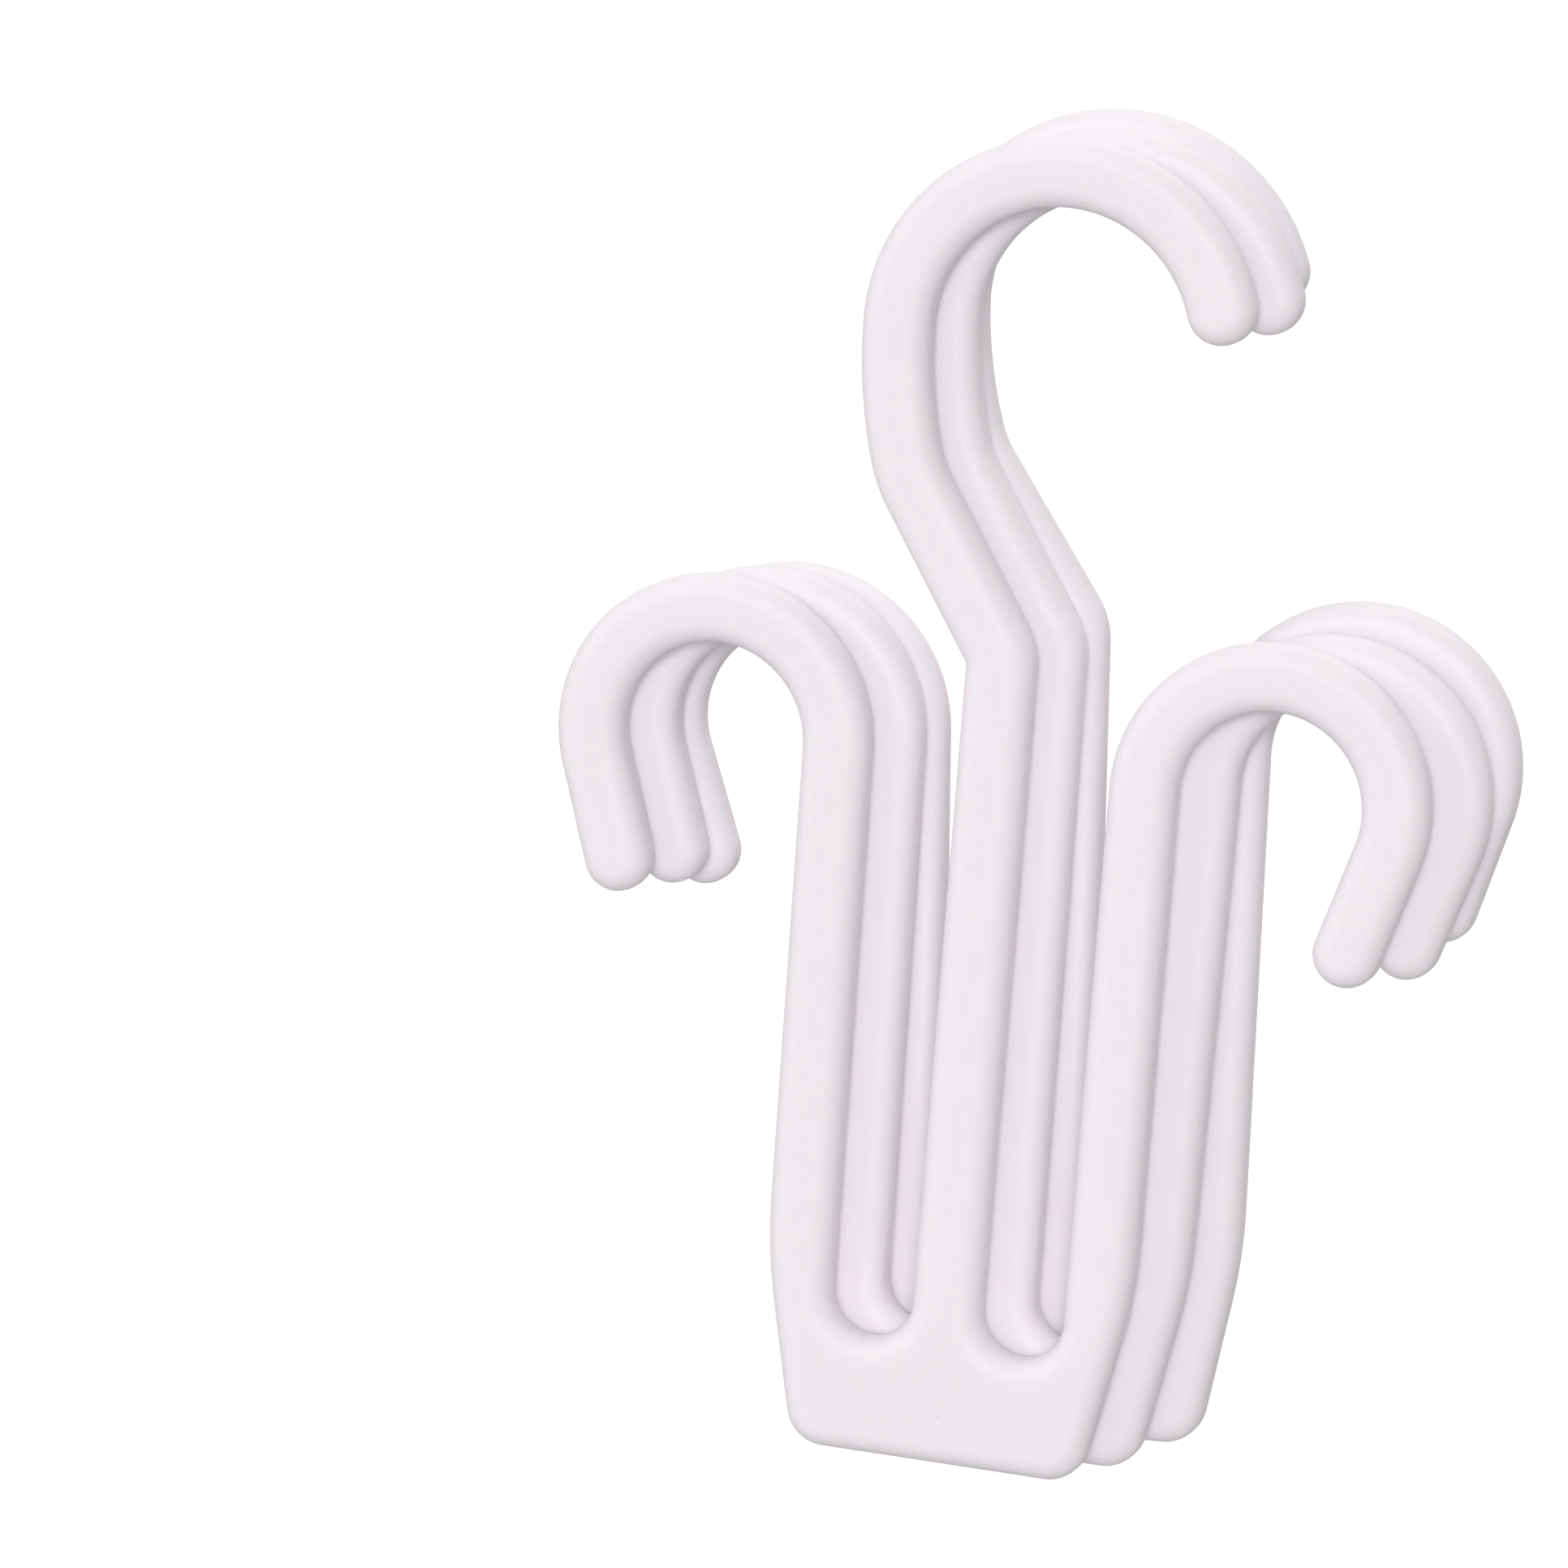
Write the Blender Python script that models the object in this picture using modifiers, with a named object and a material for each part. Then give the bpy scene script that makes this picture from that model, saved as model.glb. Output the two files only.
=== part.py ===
"""Three identical one-piece shoe hangers, stacked face to face and hung by their centre hooks.

Each hanger is a single moulding: a palm plate from which three parallel rods rise. The two
side rods arch outwards into shoe hooks. The centre rod cranks to one side and arches over as
the hook that goes on a rail. The rods have one thickness and softly rounded edges. The side
rods of each hanger are sprung outwards by a degree or so of their own.

Axes: +X to the right seen from the front, +Y from the front to the back, +Z up.
Origin: the centre of the front hanger's rail hook, in the middle of the stack's depth.
Lengths are in metres and angles in degrees.
"""
from math import ceil, cos, radians, sin, tan

import bmesh
import bpy
from mathutils import Matrix, Vector

# Section of the rods
THICKNESS = 0.0085
EDGE_RADIUS = 0.0030
SIDE_ROD_WIDTH = 0.01045
CENTRE_ROD_WIDTH = 0.01063

# Palm plate, measured from the level where the round slot ends are centred
ROD_PITCH = 0.02421
PALM_DEPTH = 0.02507
PALM_TAPER = 11.69
PALM_CORNER_RADIUS = 0.00636
PALM_SHOULDER_HEIGHT = 0.00531
PALM_SHOULDER_RADIUS = 0.08112

# Side rods and their shoe hooks
SIDE_ROD_LENGTH = 0.08468
SHOE_ARCH_INNER_RADIUS = 0.02002
SHOE_ARCH_OUTER_RADIUS = 0.01969
SHOE_TIP_TURN = 17.34
SHOE_TIP_LENGTH = 0.01622

# Centre rod: straight finger, cranked neck, shank and rail hook
CENTRE_ROD_LENGTH = 0.10044
NECK_LEAN = 32.97
NECK_LOWER_RADIUS = 0.00730
NECK_LENGTH = 0.02601
NECK_UPPER_RADIUS = 0.02081
SHANK_LEAN = 15.79
SHANK_RADIUS = 0.07416
RAIL_HOOK_RADIUS = 0.02578
RAIL_HOOK_FRONT_RADIUS = 0.02594
RAIL_HOOK_OPENING = 17.17

# Gate mark of the moulding, a shallow dimple low on the front of the palm
GATE_DIAMETER = 0.0011
GATE_DEPTH = 0.0002
GATE_HEIGHT = 0.0075
GATE_OFFSET = 0.0010

# Where the hangers lie in the stack: hook centre (x, z) and clockwise turn about it
STACK_GAP = 0.0003
FRONT_PLACE = (0.0, 0.0, 0.0)
MIDDLE_PLACE = (0.00511, 0.00101, -0.47)
REAR_PLACE = (0.00379, 0.00303, -3.30)

# How far each hanger's left and right side rods lean outwards
FRONT_LEANS = (0.53, -0.08)
MIDDLE_LEANS = (0.31, 1.15)
REAR_LEANS = (0.66, 1.35)

# Finish
PLASTIC_COLOUR = (0.85, 0.81, 0.85, 1.0)
PLASTIC_ROUGHNESS = 0.42

# Facets
ARC_STEP = 10.0
EDGE_SEGMENTS = 3
GATE_SEGMENTS = 20
RIM_ANGLE = 40.0
FLAT_ANGLE = 1.0
WELD_DISTANCE = 0.00001


def arc(centre, radius, start, sweep):
    """Points on an arc, both ends included; angles counter-clockwise from +X."""
    steps = max(1, ceil(abs(sweep) / ARC_STEP))
    angles = [radians(start + sweep * step / steps) for step in range(steps + 1)]
    return [Vector((centre.x + radius * cos(a), centre.y + radius * sin(a))) for a in angles]


def unit(heading):
    """Unit vector along a heading."""
    return Vector((cos(radians(heading)), sin(radians(heading))))


def trace(start, heading, moves):
    """Centre line of a rod that sets off along a heading.

    A move is (length, 0) for a straight or (radius, turn) for an arc, left turns positive.
    Returns stations of point and heading, and the point and heading after each move.
    """
    point = Vector(start)
    stations, joins = [(point, heading)], []
    for size, turn in moves:
        if turn == 0:
            point = point + unit(heading) * size
            stations.append((point, heading))
        else:
            side = 90.0 if turn > 0 else -90.0
            centre = point + unit(heading + side) * size
            points = arc(centre, size, heading - side, turn)
            steps = len(points) - 1
            stations += [(points[k], heading + turn * k / steps) for k in range(1, steps + 1)]
            point, heading = points[-1], heading + turn
        joins.append((point, heading))
    return stations, joins


def outline_of_rod(stations, width):
    """Left side up the rod, round its end, and right side back down."""
    half = width / 2
    left = [point + unit(heading + 90) * half for point, heading in stations]
    right = [point + unit(heading - 90) * half for point, heading in stations]
    tip, heading = stations[-1]
    end = arc(tip, half, heading + 90, -180)[1:-1]
    return left + end + right[::-1]


def fillet(corner, before, after, radius):
    """Arc that rounds a corner, for directions of travel before and after it."""
    turn = (after - before + 180) % 360 - 180
    reach = radius * tan(radians(abs(turn)) / 2)
    side = 90.0 if turn > 0 else -90.0
    centre = corner - unit(before) * reach + unit(before + side) * radius
    return arc(centre, radius, before - side, turn)


def shoe_hook_moves(side):
    """Side rod that arches outwards; side is +1 for the left rod and -1 for the right."""
    return [
        (SIDE_ROD_LENGTH, 0),
        (SHOE_ARCH_INNER_RADIUS, side * 90),
        (SHOE_ARCH_OUTER_RADIUS, side * (90 + SHOE_TIP_TURN)),
        (SHOE_TIP_LENGTH, 0),
    ]


def rail_hook_moves():
    """Centre rod that cranks left and arches over to the right."""
    return [
        (CENTRE_ROD_LENGTH, 0),
        (NECK_LOWER_RADIUS, NECK_LEAN),
        (NECK_LENGTH, 0),
        (NECK_UPPER_RADIUS, SHANK_LEAN - NECK_LEAN),
        (SHANK_RADIUS, -SHANK_LEAN),
        (RAIL_HOOK_RADIUS, -90),
        (RAIL_HOOK_FRONT_RADIUS, RAIL_HOOK_OPENING - 90),
    ]


def rail_hook_centre():
    """Centre of the rail hook's first quarter, which is the axis the hanger swings about."""
    joins = trace((0, 0), 90, rail_hook_moves())[1]
    shank_end, heading = joins[4]
    return shank_end + unit(heading - 90) * RAIL_HOOK_RADIUS


def slot_end(left_edge, right_edge):
    """Round bottom of the slot between two rods, without its two ends."""
    radius = (right_edge - left_edge) / 2
    return arc(Vector((left_edge + radius, 0)), radius, 180, 180)[1:-1]


def palm_side(lean):
    """Right edge of the palm, from its shoulder on a leaning side rod down to the bottom."""
    rod_edge = Vector((ROD_PITCH, 0)) + unit(-lean) * SIDE_ROD_WIDTH / 2
    shoulder = rod_edge + unit(90 - lean) * PALM_SHOULDER_HEIGHT
    inset = (shoulder.y + PALM_DEPTH) * tan(radians(PALM_TAPER))
    foot = Vector((shoulder.x - inset, -PALM_DEPTH))
    down, inward, left = -90.0 - lean, -90.0 - PALM_TAPER, 180.0
    points = fillet(shoulder, down, inward, PALM_SHOULDER_RADIUS)
    return points + fillet(foot, inward, left, PALM_CORNER_RADIUS)


def hanger_outline(left_lean, right_lean):
    """Closed outline, clockwise seen from the front, with the rail hook's centre at zero."""
    side_edge = ROD_PITCH - SIDE_ROD_WIDTH / 2
    centre_edge = CENTRE_ROD_WIDTH / 2
    left_rod = trace((-ROD_PITCH, 0), 90 + left_lean, shoe_hook_moves(1))[0]
    centre_rod = trace((0, 0), 90, rail_hook_moves())[0]
    right_rod = trace((ROD_PITCH, 0), 90 - right_lean, shoe_hook_moves(-1))[0]
    left = outline_of_rod(left_rod, SIDE_ROD_WIDTH)
    centre = outline_of_rod(centre_rod, CENTRE_ROD_WIDTH)
    right = outline_of_rod(right_rod, SIDE_ROD_WIDTH)
    right_palm = palm_side(right_lean)
    left_palm = [Vector((-point.x, point.y)) for point in reversed(palm_side(left_lean))]
    points = left_palm + left[1:] + slot_end(-side_edge, -centre_edge)
    points += centre + slot_end(centre_edge, side_edge) + right[:-1] + right_palm
    return [point - rail_hook_centre() for point in points]


def plate_mesh(name, outline):
    """Flat plate with this outline, upright in the XZ plane and centred on Y."""
    curve = bpy.data.curves.new(name, "CURVE")
    curve.dimensions = "2D"
    curve.fill_mode = "BOTH"
    curve.extrude = THICKNESS / 2
    spline = curve.splines.new("POLY")
    spline.points.add(len(outline) - 1)
    for spline_point, point in zip(spline.points, outline):
        spline_point.co = (point.x, point.y, 0, 1)
    spline.use_cyclic_u = True
    drawing = bpy.data.objects.new(name, curve)
    bpy.context.scene.collection.objects.link(drawing)
    evaluated = drawing.evaluated_get(bpy.context.evaluated_depsgraph_get())
    mesh = bpy.data.meshes.new_from_object(evaluated)
    bpy.data.objects.remove(drawing)
    bpy.data.curves.remove(curve)
    bm = bmesh.new()
    bm.from_mesh(mesh)
    bmesh.ops.remove_doubles(bm, verts=bm.verts, dist=WELD_DISTANCE)
    bmesh.ops.dissolve_limit(
        bm, angle_limit=radians(FLAT_ANGLE), verts=bm.verts, edges=bm.edges)
    bmesh.ops.transform(bm, matrix=Matrix.Rotation(radians(90), 4, "X"), verts=bm.verts)
    bmesh.ops.recalc_face_normals(bm, faces=bm.faces)
    bm.to_mesh(mesh)
    bm.free()
    mesh.name = name
    return mesh


def plastic_material():
    """Satin white plastic with a faint lavender tint."""
    material = bpy.data.materials.new("white_plastic")
    material.use_nodes = True
    shader = material.node_tree.nodes["Principled BSDF"]
    shader.inputs["Base Color"].default_value = PLASTIC_COLOUR
    shader.inputs["Roughness"].default_value = PLASTIC_ROUGHNESS
    shader.inputs["Metallic"].default_value = 0.0
    return material


def gate_cutter(cutters):
    """Disc that sinks the gate mark into the front face of the palm, for one hanger."""
    height = 2 * GATE_DEPTH
    bpy.ops.mesh.primitive_cylinder_add(
        vertices=GATE_SEGMENTS, radius=GATE_DIAMETER / 2, depth=height,
        rotation=(radians(90), 0, 0))
    cutter = bpy.context.object
    cutter.name = "gate_cutter"
    centre = rail_hook_centre()
    cutter.location = (GATE_OFFSET - centre.x, -THICKNESS / 2, GATE_HEIGHT - PALM_DEPTH - centre.y)
    cutter.hide_render = True
    cutter.display_type = "WIRE"
    for collection in cutter.users_collection:
        collection.objects.unlink(cutter)
    cutters.objects.link(cutter)
    return cutter


def add_hanger(name, leans, place, depth, plastic, parts, cutters):
    """One hanger, whose origin is on the axis of its own rail hook."""
    x, z, turn = place
    mesh = plate_mesh(name, hanger_outline(*leans))
    mesh.materials.append(plastic)
    mesh.shade_smooth()
    mesh.set_sharp_from_angle(angle=radians(RIM_ANGLE))
    hanger = bpy.data.objects.new(name, mesh)
    parts.objects.link(hanger)
    hanger.location = (x, depth, z)
    hanger.rotation_euler = (0, radians(turn), 0)
    rim = hanger.modifiers.new("rounded_edges", "BEVEL")
    rim.width = EDGE_RADIUS
    rim.segments = EDGE_SEGMENTS
    rim.limit_method = "ANGLE"
    rim.angle_limit = radians(RIM_ANGLE)
    rim.use_clamp_overlap = False
    cutter = gate_cutter(cutters)
    cutter.parent = hanger
    gate = hanger.modifiers.new("gate_mark", "BOOLEAN")
    gate.operation = "DIFFERENCE"
    gate.object = cutter
    return hanger


def main():
    for leftover in list(bpy.data.objects):
        bpy.data.objects.remove(leftover)
    parts = bpy.data.collections.new("shoe_hangers")
    cutters = bpy.data.collections.new("cutters")
    for collection in (parts, cutters):
        bpy.context.scene.collection.children.link(collection)

    plastic = plastic_material()
    step = THICKNESS + STACK_GAP
    add_hanger("front_hanger", FRONT_LEANS, FRONT_PLACE, -step, plastic, parts, cutters)
    add_hanger("middle_hanger", MIDDLE_LEANS, MIDDLE_PLACE, 0.0, plastic, parts, cutters)
    add_hanger("rear_hanger", REAR_LEANS, REAR_PLACE, step, plastic, parts, cutters)


main()
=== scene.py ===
from math import ceil, cos, radians, sin, tan

import bmesh
import bpy
from mathutils import Matrix, Vector


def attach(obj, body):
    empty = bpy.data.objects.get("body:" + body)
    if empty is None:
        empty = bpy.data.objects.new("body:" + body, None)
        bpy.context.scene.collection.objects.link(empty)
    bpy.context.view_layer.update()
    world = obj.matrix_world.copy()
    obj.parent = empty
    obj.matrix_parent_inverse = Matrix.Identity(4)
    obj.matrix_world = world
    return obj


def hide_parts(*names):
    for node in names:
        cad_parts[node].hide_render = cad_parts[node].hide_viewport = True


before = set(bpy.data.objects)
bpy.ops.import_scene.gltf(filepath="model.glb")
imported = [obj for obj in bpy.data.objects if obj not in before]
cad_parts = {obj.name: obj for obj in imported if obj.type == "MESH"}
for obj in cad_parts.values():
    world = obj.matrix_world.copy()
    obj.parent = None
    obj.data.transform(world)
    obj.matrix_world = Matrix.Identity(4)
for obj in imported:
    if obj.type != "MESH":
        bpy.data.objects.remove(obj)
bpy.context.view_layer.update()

# Section of the rods
THICKNESS = 0.0085
EDGE_RADIUS = 0.0033
SIDE_ROD_WIDTH = 0.01045
CENTRE_ROD_WIDTH = 0.01063

# Palm plate, measured from the level where the round slot ends are centred
ROD_PITCH = 0.02421
PALM_DEPTH = 0.02507
PALM_TAPER = 11.69
PALM_CORNER_RADIUS = 0.00636
PALM_SHOULDER_HEIGHT = 0.00531
PALM_SHOULDER_RADIUS = 0.08112

# Side rods and their shoe hooks
SIDE_ROD_LENGTH = 0.08468
SHOE_ARCH_INNER_RADIUS = 0.02002
SHOE_ARCH_OUTER_RADIUS = 0.01969
SHOE_TIP_TURN = 17.34
SHOE_TIP_LENGTH = 0.01622

# Centre rod: straight finger, cranked neck, shank and rail hook. SHANK_MOVE is where the shank's
# arc comes among the rod's moves, counted from zero.
SHANK_MOVE = 4
CENTRE_ROD_LENGTH = 0.10044
NECK_LEAN = 32.97
NECK_LOWER_RADIUS = 0.00730
NECK_LENGTH = 0.02601
NECK_UPPER_RADIUS = 0.02081
SHANK_LEAN = 15.79
SHANK_RADIUS = 0.07416
RAIL_HOOK_RADIUS = 0.02578
RAIL_HOOK_FRONT_RADIUS = 0.02594
RAIL_HOOK_OPENING = 17.17

# Gate mark of the moulding, a shallow round dimple low on the front of the palm
GATE_DIAMETER = 0.0011
GATE_DEPTH = 0.0002
GATE_HEIGHT = 0.0075
GATE_OFFSET = 0.0010
GATE_SEGMENTS = 32

# Where the hangers lie in the stack: hook centre (x, z), clockwise turn about it, and depth
STACK_GAP = 0.0003
STACK_STEP = THICKNESS + STACK_GAP
PLACES = {
    "front": (0.0, 0.0, 0.0, -STACK_STEP),
    "middle": (0.00511, 0.00101, -0.47, 0.0),
    "rear": (0.00379, 0.00303, -3.30, STACK_STEP),
}

# How far each hanger's left and right side rods lean outwards
LEANS = {
    "front": (0.53, -0.08),
    "middle": (0.31, 1.15),
    "rear": (0.66, 1.35),
}

# Fineness of the meshes
ARC_STEP = 3.0
EDGE_SEGMENTS = 8
RIM_ANGLE = 40.0
FLAT_ANGLE = 0.2
WELD_DISTANCE = 0.00001
NORMAL_WEIGHT = 100

# Plastic: two faint tints that blend, roughness from least to most, and light that sinks in
PLASTIC_LAVENDER = (0.845, 0.805, 0.858, 1.0)
PLASTIC_ROSE = (0.858, 0.808, 0.838, 1.0)
PLASTIC_ROUGHNESS = (0.50, 0.62)
PLASTIC_IOR = 1.49
PLASTIC_SPECULAR = 0.35
SUBSURFACE_WEIGHT = 0.60
SUBSURFACE_RADIUS = (1.0, 0.85, 0.82)
SUBSURFACE_SCALE = 0.004

# Noise in the plastic: scale and detail of each, and the real height of the two in relief
TINT_NOISE = (22.0, 3.0)
SHEEN_NOISE = (90.0, 4.0)
WAVE_NOISE = (75.0, 1.0)
WAVE_HEIGHT = 0.00004
GRAIN_NOISE = (2600.0, 2.0)
GRAIN_HEIGHT = 0.000012

# Camera, fitted to the photograph
CAMERA_TARGET = Vector((-0.03824, -0.0088, -0.07387))
CAMERA_DISTANCE = 1.4780
CAMERA_AZIMUTH = 16.0
CAMERA_ELEVATION = 10.74
CAMERA_ROLL = 4.52
CAMERA_LENS = 219.3
SENSOR_WIDTH = 36.0

# Studio. The floor's glow and the world's white show only to the camera and in shiny surfaces.
WHITE = (1.0, 1.0, 1.0, 1.0)
FLOOR_LEVEL = -0.36
FLOOR_SIZE = 14.0
FLOOR_COLOUR = (0.45, 0.45, 0.45, 1.0)
FLOOR_ROUGHNESS = 1.0
FLOOR_SPECULAR = 0.0
FLOOR_GLOW = 0.70
WORLD_LEVEL = 0.29
WORLD_WHITE = 1.0

# Soft lamps: azimuth, elevation, strength and spread of each
FRONT_LIGHT = (13.0, 14.0, 1.83, 20.0)
LEFT_LIGHT = (-70.0, 20.0, 0.94, 45.0)
BACK_LIGHT = (170.0, 50.0, 1.55, 60.0)


def arc(centre, radius, start, sweep):
    """Points on an arc, both ends included; angles counter-clockwise from +X."""
    steps = max(1, ceil(abs(sweep) / ARC_STEP))
    angles = [radians(start + sweep * step / steps) for step in range(steps + 1)]
    return [Vector((centre.x + radius * cos(a), centre.y + radius * sin(a))) for a in angles]


def unit(heading):
    """Unit vector along a heading."""
    return Vector((cos(radians(heading)), sin(radians(heading))))


def trace(start, heading, moves):
    """Centre line of a rod that sets off along a heading, and where each of its moves ends.

    A move is (length, 0) for a straight or (radius, turn) for an arc, left turns positive.
    """
    point = Vector(start)
    stations, joins = [(point, heading)], []
    for size, turn in moves:
        if turn == 0:
            point = point + unit(heading) * size
            stations.append((point, heading))
        else:
            side = 90.0 if turn > 0 else -90.0
            centre = point + unit(heading + side) * size
            points = arc(centre, size, heading - side, turn)
            steps = len(points) - 1
            stations += [(points[k], heading + turn * k / steps) for k in range(1, steps + 1)]
            point, heading = points[-1], heading + turn
        joins.append((point, heading))
    return stations, joins


def outline_of_rod(stations, width):
    """Left side up the rod, round its end, and right side back down."""
    half = width / 2
    left = [point + unit(heading + 90) * half for point, heading in stations]
    right = [point + unit(heading - 90) * half for point, heading in stations]
    tip, heading = stations[-1]
    end = arc(tip, half, heading + 90, -180)[1:-1]
    return left + end + right[::-1]


def fillet(corner, before, after, radius):
    """Arc that rounds a corner, for directions of travel before and after it."""
    turn = (after - before + 180) % 360 - 180
    reach = radius * tan(radians(abs(turn)) / 2)
    side = 90.0 if turn > 0 else -90.0
    centre = corner - unit(before) * reach + unit(before + side) * radius
    return arc(centre, radius, before - side, turn)


def shoe_hook_moves(side):
    """Side rod that arches outwards; side is +1 for the left rod and -1 for the right."""
    return [
        (SIDE_ROD_LENGTH, 0),
        (SHOE_ARCH_INNER_RADIUS, side * 90),
        (SHOE_ARCH_OUTER_RADIUS, side * (90 + SHOE_TIP_TURN)),
        (SHOE_TIP_LENGTH, 0),
    ]


def rail_hook_moves():
    """Centre rod that cranks left and arches over to the right."""
    return [
        (CENTRE_ROD_LENGTH, 0),
        (NECK_LOWER_RADIUS, NECK_LEAN),
        (NECK_LENGTH, 0),
        (NECK_UPPER_RADIUS, SHANK_LEAN - NECK_LEAN),
        (SHANK_RADIUS, -SHANK_LEAN),
        (RAIL_HOOK_RADIUS, -90),
        (RAIL_HOOK_FRONT_RADIUS, RAIL_HOOK_OPENING - 90),
    ]


def rail_hook_centre():
    """Centre of the rail hook's first quarter, which is the axis the hanger swings about."""
    joins = trace((0, 0), 90, rail_hook_moves())[1]
    shank_end, heading = joins[SHANK_MOVE]
    return shank_end + unit(heading - 90) * RAIL_HOOK_RADIUS


def slot_end(left_edge, right_edge):
    """Round bottom of the slot between two rods, without its two ends."""
    radius = (right_edge - left_edge) / 2
    return arc(Vector((left_edge + radius, 0)), radius, 180, 180)[1:-1]


def palm_side(lean):
    """Right edge of the palm, from its shoulder on a leaning side rod down to the bottom."""
    rod_edge = Vector((ROD_PITCH, 0)) + unit(-lean) * SIDE_ROD_WIDTH / 2
    shoulder = rod_edge + unit(90 - lean) * PALM_SHOULDER_HEIGHT
    inset = (shoulder.y + PALM_DEPTH) * tan(radians(PALM_TAPER))
    foot = Vector((shoulder.x - inset, -PALM_DEPTH))
    down, inward, left = -90.0 - lean, -90.0 - PALM_TAPER, 180.0
    points = fillet(shoulder, down, inward, PALM_SHOULDER_RADIUS)
    return points + fillet(foot, inward, left, PALM_CORNER_RADIUS)


def hanger_outline(left_lean, right_lean):
    """Closed outline, clockwise seen from the front, with the rail hook's centre at zero."""
    side_edge = ROD_PITCH - SIDE_ROD_WIDTH / 2
    centre_edge = CENTRE_ROD_WIDTH / 2
    left_rod = trace((-ROD_PITCH, 0), 90 + left_lean, shoe_hook_moves(1))[0]
    centre_rod = trace((0, 0), 90, rail_hook_moves())[0]
    right_rod = trace((ROD_PITCH, 0), 90 - right_lean, shoe_hook_moves(-1))[0]
    left = outline_of_rod(left_rod, SIDE_ROD_WIDTH)
    centre = outline_of_rod(centre_rod, CENTRE_ROD_WIDTH)
    right = outline_of_rod(right_rod, SIDE_ROD_WIDTH)
    right_palm = palm_side(right_lean)
    left_palm = [Vector((-point.x, point.y)) for point in reversed(palm_side(left_lean))]
    points = left_palm + left[1:] + slot_end(-side_edge, -centre_edge)
    points += centre + slot_end(centre_edge, side_edge) + right[:-1] + right_palm
    return [point - rail_hook_centre() for point in points]


def plate_mesh(name, outline):
    """Flat plate with this outline, upright in the XZ plane and centred on Y."""
    curve = bpy.data.curves.new(name, "CURVE")
    curve.dimensions = "2D"
    curve.fill_mode = "BOTH"
    curve.extrude = THICKNESS / 2
    spline = curve.splines.new("POLY")
    spline.points.add(len(outline) - 1)
    for spline_point, point in zip(spline.points, outline):
        spline_point.co = (point.x, point.y, 0, 1)
    spline.use_cyclic_u = True
    drawing = bpy.data.objects.new(name, curve)
    bpy.context.scene.collection.objects.link(drawing)
    evaluated = drawing.evaluated_get(bpy.context.evaluated_depsgraph_get())
    mesh = bpy.data.meshes.new_from_object(evaluated)
    bpy.data.objects.remove(drawing)
    bpy.data.curves.remove(curve)
    bm = bmesh.new()
    bm.from_mesh(mesh)
    bmesh.ops.remove_doubles(bm, verts=bm.verts, dist=WELD_DISTANCE)
    bmesh.ops.dissolve_limit(
        bm, angle_limit=radians(FLAT_ANGLE), verts=bm.verts, edges=bm.edges)
    bmesh.ops.transform(bm, matrix=Matrix.Rotation(radians(90), 4, "X"), verts=bm.verts)
    bmesh.ops.recalc_face_normals(bm, faces=bm.faces)
    bm.to_mesh(mesh)
    bm.free()
    mesh.name = name
    return mesh


def gate_cutter():
    """Ball whose cap sinks a shallow dimple of the gate's diameter and depth."""
    half = GATE_DIAMETER / 2
    radius = (half * half + GATE_DEPTH * GATE_DEPTH) / (2 * GATE_DEPTH)
    mesh = bpy.data.meshes.new("gate_cutter")
    bm = bmesh.new()
    bmesh.ops.create_uvsphere(
        bm, u_segments=GATE_SEGMENTS, v_segments=GATE_SEGMENTS * 2, radius=radius)
    bmesh.ops.transform(bm, matrix=Matrix.Rotation(radians(90), 4, "X"), verts=bm.verts)
    bm.to_mesh(mesh)
    bm.free()
    cutter = bpy.data.objects.new("gate_cutter", mesh)
    bpy.context.scene.collection.objects.link(cutter)
    centre = rail_hook_centre()
    out_of_face = THICKNESS / 2 + radius - GATE_DEPTH
    cutter.location = (
        GATE_OFFSET - centre.x, -out_of_face, GATE_HEIGHT - PALM_DEPTH - centre.y)
    return cutter


def moulded_mesh(name, leans):
    """One hanger with softly rounded rims and its gate mark, hook centre at zero.

    The normals are weighted by area, so the flat faces stay flat right up to their rims.
    """
    plate = bpy.data.objects.new("moulding", plate_mesh("moulding", hanger_outline(*leans)))
    bpy.context.scene.collection.objects.link(plate)
    rim = plate.modifiers.new("rounded_edges", "BEVEL")
    rim.width = EDGE_RADIUS
    rim.segments = EDGE_SEGMENTS
    rim.limit_method = "ANGLE"
    rim.angle_limit = radians(RIM_ANGLE)
    rim.use_clamp_overlap = False
    cutter = gate_cutter()
    gate = plate.modifiers.new("gate_mark", "BOOLEAN")
    gate.operation = "DIFFERENCE"
    gate.object = cutter
    plate.data.shade_smooth()
    normals = plate.modifiers.new("flat_faces", "WEIGHTED_NORMAL")
    normals.weight = NORMAL_WEIGHT
    bpy.context.view_layer.update()
    evaluated = plate.evaluated_get(bpy.context.evaluated_depsgraph_get())
    mesh = bpy.data.meshes.new_from_object(evaluated)
    bpy.data.objects.remove(plate)
    bpy.data.objects.remove(cutter)
    mesh.name = name
    return mesh


def noise(tree, coordinates, scale, detail):
    """Noise in the object's own coordinates."""
    texture = tree.nodes.new("ShaderNodeTexNoise")
    texture.inputs["Scale"].default_value = scale
    texture.inputs["Detail"].default_value = detail
    tree.links.new(coordinates, texture.inputs["Vector"])
    return texture.outputs["Fac"]


def bump(tree, height, distance, normal):
    """Bump of a real height, over another bump's normal where one is given."""
    node = tree.nodes.new("ShaderNodeBump")
    node.inputs["Distance"].default_value = distance
    tree.links.new(height, node.inputs["Height"])
    if normal is not None:
        tree.links.new(normal, node.inputs["Normal"])
    return node.outputs["Normal"]


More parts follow.
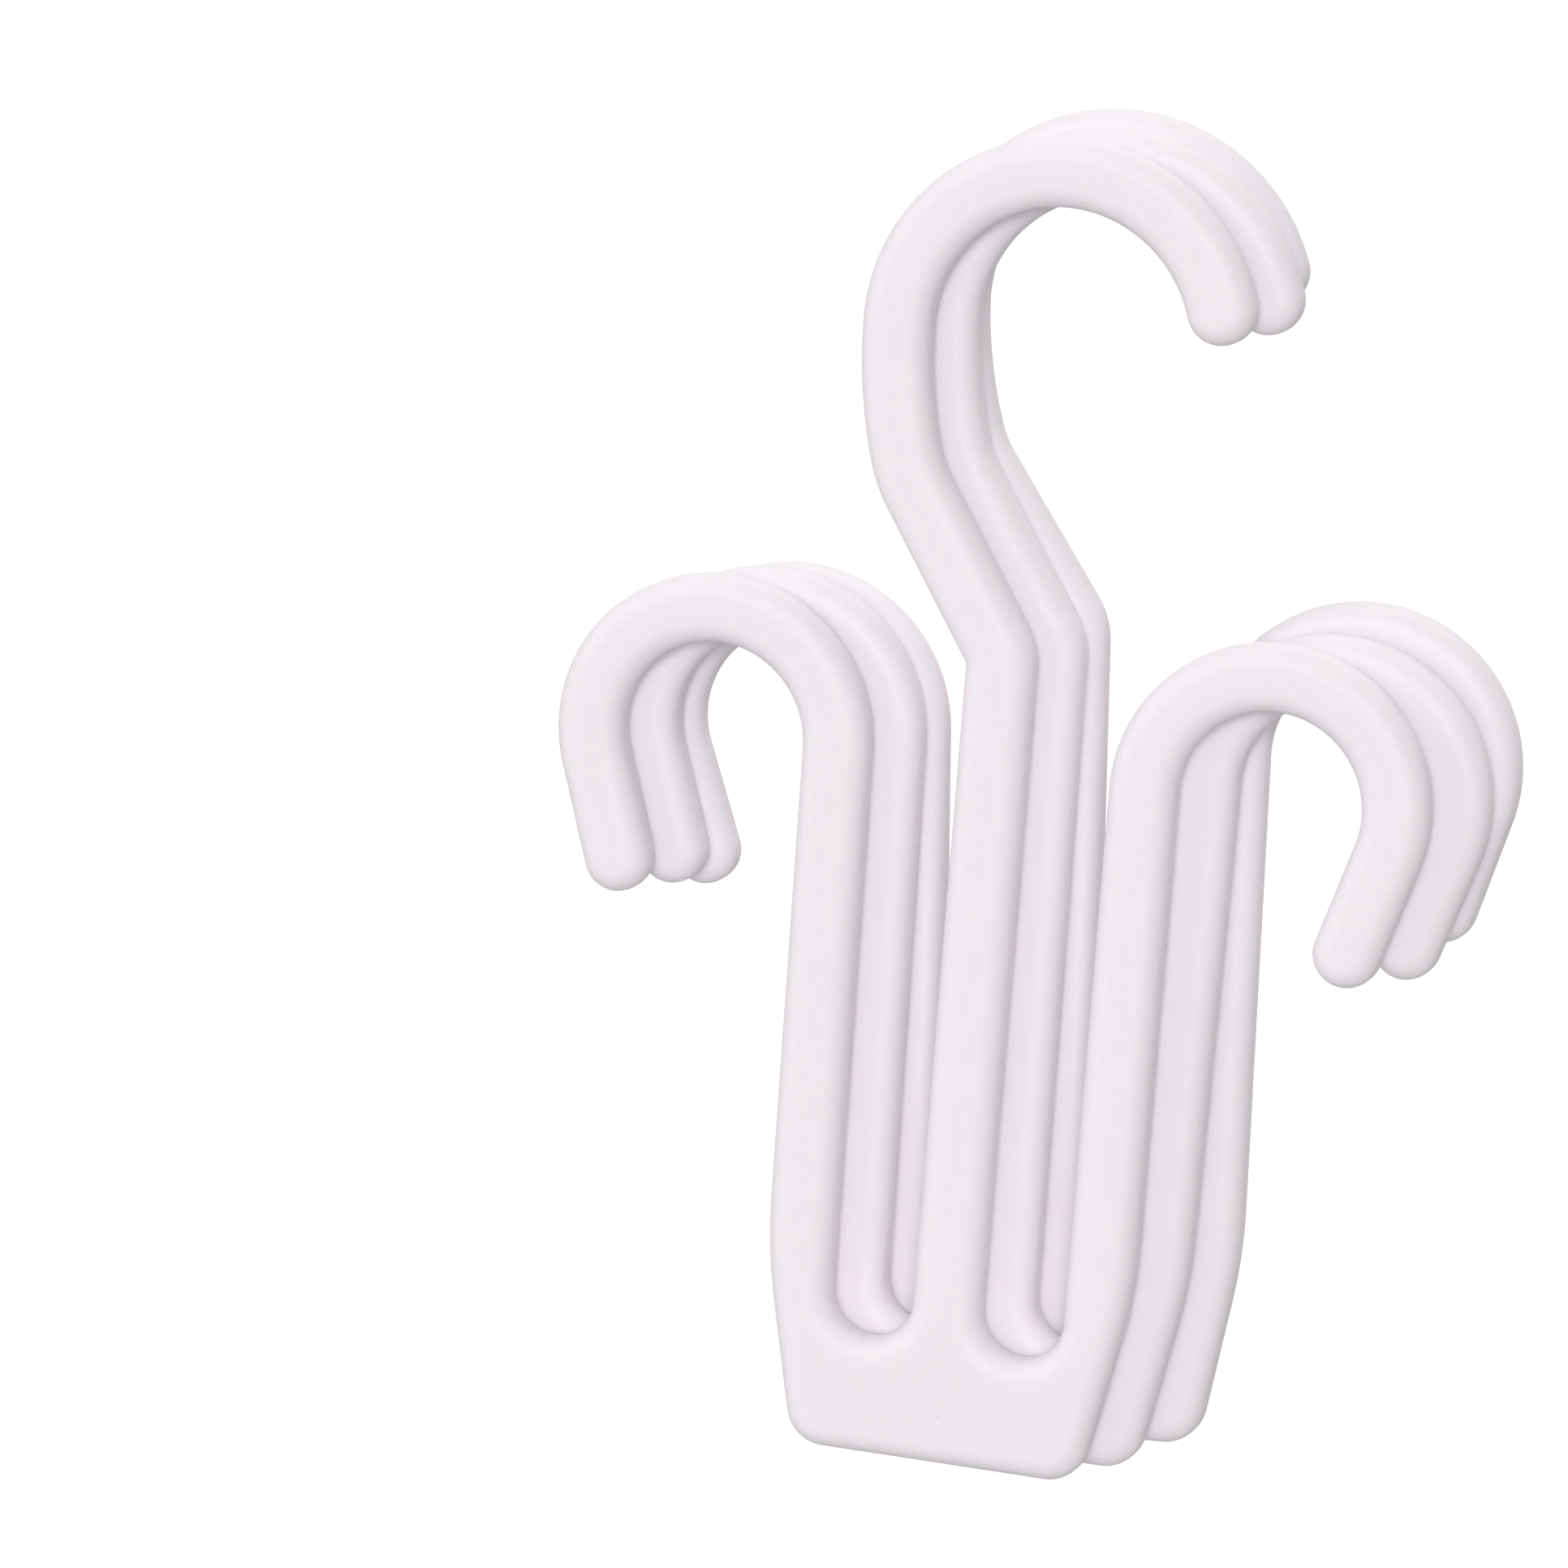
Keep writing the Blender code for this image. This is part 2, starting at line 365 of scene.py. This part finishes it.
def plastic_material():
    """Satin white moulded plastic: faint lavender and rose tint, fine grain, uneven sheen."""
    material = bpy.data.materials.new("white_plastic")
    material.use_nodes = True
    tree = material.node_tree
    shader = tree.nodes["Principled BSDF"]
    place = tree.nodes.new("ShaderNodeTexCoord").outputs["Object"]

    tint = tree.nodes.new("ShaderNodeMix")
    tint.data_type = "RGBA"
    tint.inputs["A"].default_value = PLASTIC_LAVENDER
    tint.inputs["B"].default_value = PLASTIC_ROSE
    tree.links.new(noise(tree, place, *TINT_NOISE), tint.inputs["Factor"])
    tree.links.new(tint.outputs["Result"], shader.inputs["Base Color"])

    sheen = tree.nodes.new("ShaderNodeMapRange")
    smoothest, roughest = PLASTIC_ROUGHNESS
    sheen.inputs["To Min"].default_value = smoothest
    sheen.inputs["To Max"].default_value = roughest
    tree.links.new(noise(tree, place, *SHEEN_NOISE), sheen.inputs["Value"])
    tree.links.new(sheen.outputs["Result"], shader.inputs["Roughness"])

    waves = bump(tree, noise(tree, place, *WAVE_NOISE), WAVE_HEIGHT, None)
    grain = bump(tree, noise(tree, place, *GRAIN_NOISE), GRAIN_HEIGHT, waves)
    tree.links.new(grain, shader.inputs["Normal"])

    shader.inputs["IOR"].default_value = PLASTIC_IOR
    shader.inputs["Specular IOR Level"].default_value = PLASTIC_SPECULAR
    shader.inputs["Subsurface Weight"].default_value = SUBSURFACE_WEIGHT
    shader.inputs["Subsurface Radius"].default_value = SUBSURFACE_RADIUS
    shader.inputs["Subsurface Scale"].default_value = SUBSURFACE_SCALE
    return material


def add_hangers():
    """The three hangers, each over its own node and riding on its own body."""
    plastic = plastic_material()
    for body, (x, z, turn, depth) in PLACES.items():
        mesh = moulded_mesh(body + "_moulding", LEANS[body])
        mesh.materials.clear()
        mesh.materials.append(plastic)
        mesh.transform(Matrix.Translation((x, depth, z)) @ Matrix.Rotation(radians(turn), 4, "Y"))
        hanger = bpy.data.objects.new(body + "_moulding", mesh)
        bpy.context.scene.collection.objects.link(hanger)
        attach(hanger, body)
        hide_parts(body + "_hanger")


def white_to_the_camera(tree):
    """One where a ray comes from the camera or a shiny or clear surface, and else zero."""
    path = tree.nodes.new("ShaderNodeLightPath")
    total = path.outputs["Is Camera Ray"]
    for kind in ("Is Glossy Ray", "Is Transmission Ray"):
        either = tree.nodes.new("ShaderNodeMath")
        either.operation = "MAXIMUM"
        tree.links.new(total, either.inputs[0])
        tree.links.new(path.outputs[kind], either.inputs[1])
        total = either.outputs["Value"]
    return total


def add_floor():
    """Plain pale floor that looks white and keeps the shadow that falls on it."""
    bpy.ops.mesh.primitive_plane_add(size=FLOOR_SIZE, location=(0, 0, FLOOR_LEVEL))
    floor = bpy.context.object
    floor.name = "studio_floor"
    material = bpy.data.materials.new("studio_floor")
    material.use_nodes = True
    tree = material.node_tree
    shader = tree.nodes["Principled BSDF"]
    shader.inputs["Base Color"].default_value = FLOOR_COLOUR
    shader.inputs["Roughness"].default_value = FLOOR_ROUGHNESS
    shader.inputs["Specular IOR Level"].default_value = FLOOR_SPECULAR
    lift = tree.nodes.new("ShaderNodeMath")
    lift.operation = "MULTIPLY"
    lift.inputs[1].default_value = FLOOR_GLOW
    tree.links.new(white_to_the_camera(tree), lift.inputs[0])
    shader.inputs["Emission Color"].default_value = WHITE
    tree.links.new(lift.outputs["Value"], shader.inputs["Emission Strength"])
    floor.data.materials.append(material)


def add_world():
    """Even soft light from all round, and plain white where it is seen."""
    world = bpy.data.worlds.new("studio")
    bpy.context.scene.world = world
    world.use_nodes = True
    tree = world.node_tree
    background = tree.nodes["Background"]
    background.inputs["Color"].default_value = WHITE
    level = tree.nodes.new("ShaderNodeMapRange")
    level.inputs["To Min"].default_value = WORLD_LEVEL
    level.inputs["To Max"].default_value = WORLD_WHITE
    tree.links.new(white_to_the_camera(tree), level.inputs["Value"])
    tree.links.new(level.outputs["Result"], background.inputs["Strength"])


def add_soft_light(name, azimuth, elevation, strength, spread):
    """Distant soft lamp, an angle to the right of the front and an angle above level."""
    lamp = bpy.data.lights.new(name, "SUN")
    lamp.energy = strength
    lamp.angle = radians(spread)
    light = bpy.data.objects.new(name, lamp)
    bpy.context.scene.collection.objects.link(light)
    side, rise = radians(azimuth), radians(elevation)
    to_lamp = Vector((sin(side) * cos(rise), -cos(side) * cos(rise), sin(rise)))
    light.rotation_euler = to_lamp.to_track_quat("Z", "Y").to_euler()


def add_camera():
    """The photograph's viewpoint, with its slight roll."""
    azimuth, elevation = radians(CAMERA_AZIMUTH), radians(CAMERA_ELEVATION)
    back = Vector((
        sin(azimuth) * cos(elevation), -cos(azimuth) * cos(elevation), sin(elevation)))
    right = Vector((cos(azimuth), sin(azimuth), 0))
    up = back.cross(right)
    roll = radians(CAMERA_ROLL)
    rolled_right = right * cos(roll) + up * sin(roll)
    rolled_up = up * cos(roll) - right * sin(roll)
    camera_data = bpy.data.cameras.new("camera")
    camera_data.lens = CAMERA_LENS
    camera_data.sensor_width = SENSOR_WIDTH
    camera = bpy.data.objects.new("camera", camera_data)
    bpy.context.scene.collection.objects.link(camera)
    turned = Matrix((rolled_right, rolled_up, back)).transposed().to_4x4()
    camera.matrix_world = Matrix.Translation(CAMERA_TARGET + back * CAMERA_DISTANCE) @ turned
    bpy.context.scene.camera = camera


add_camera()
add_hangers()
add_floor()
add_world()
add_soft_light("front_light", *FRONT_LIGHT)
add_soft_light("left_light", *LEFT_LIGHT)
add_soft_light("back_light", *BACK_LIGHT)
bpy.context.scene.view_settings.view_transform = "Standard"

bpy.context.view_layer.update()
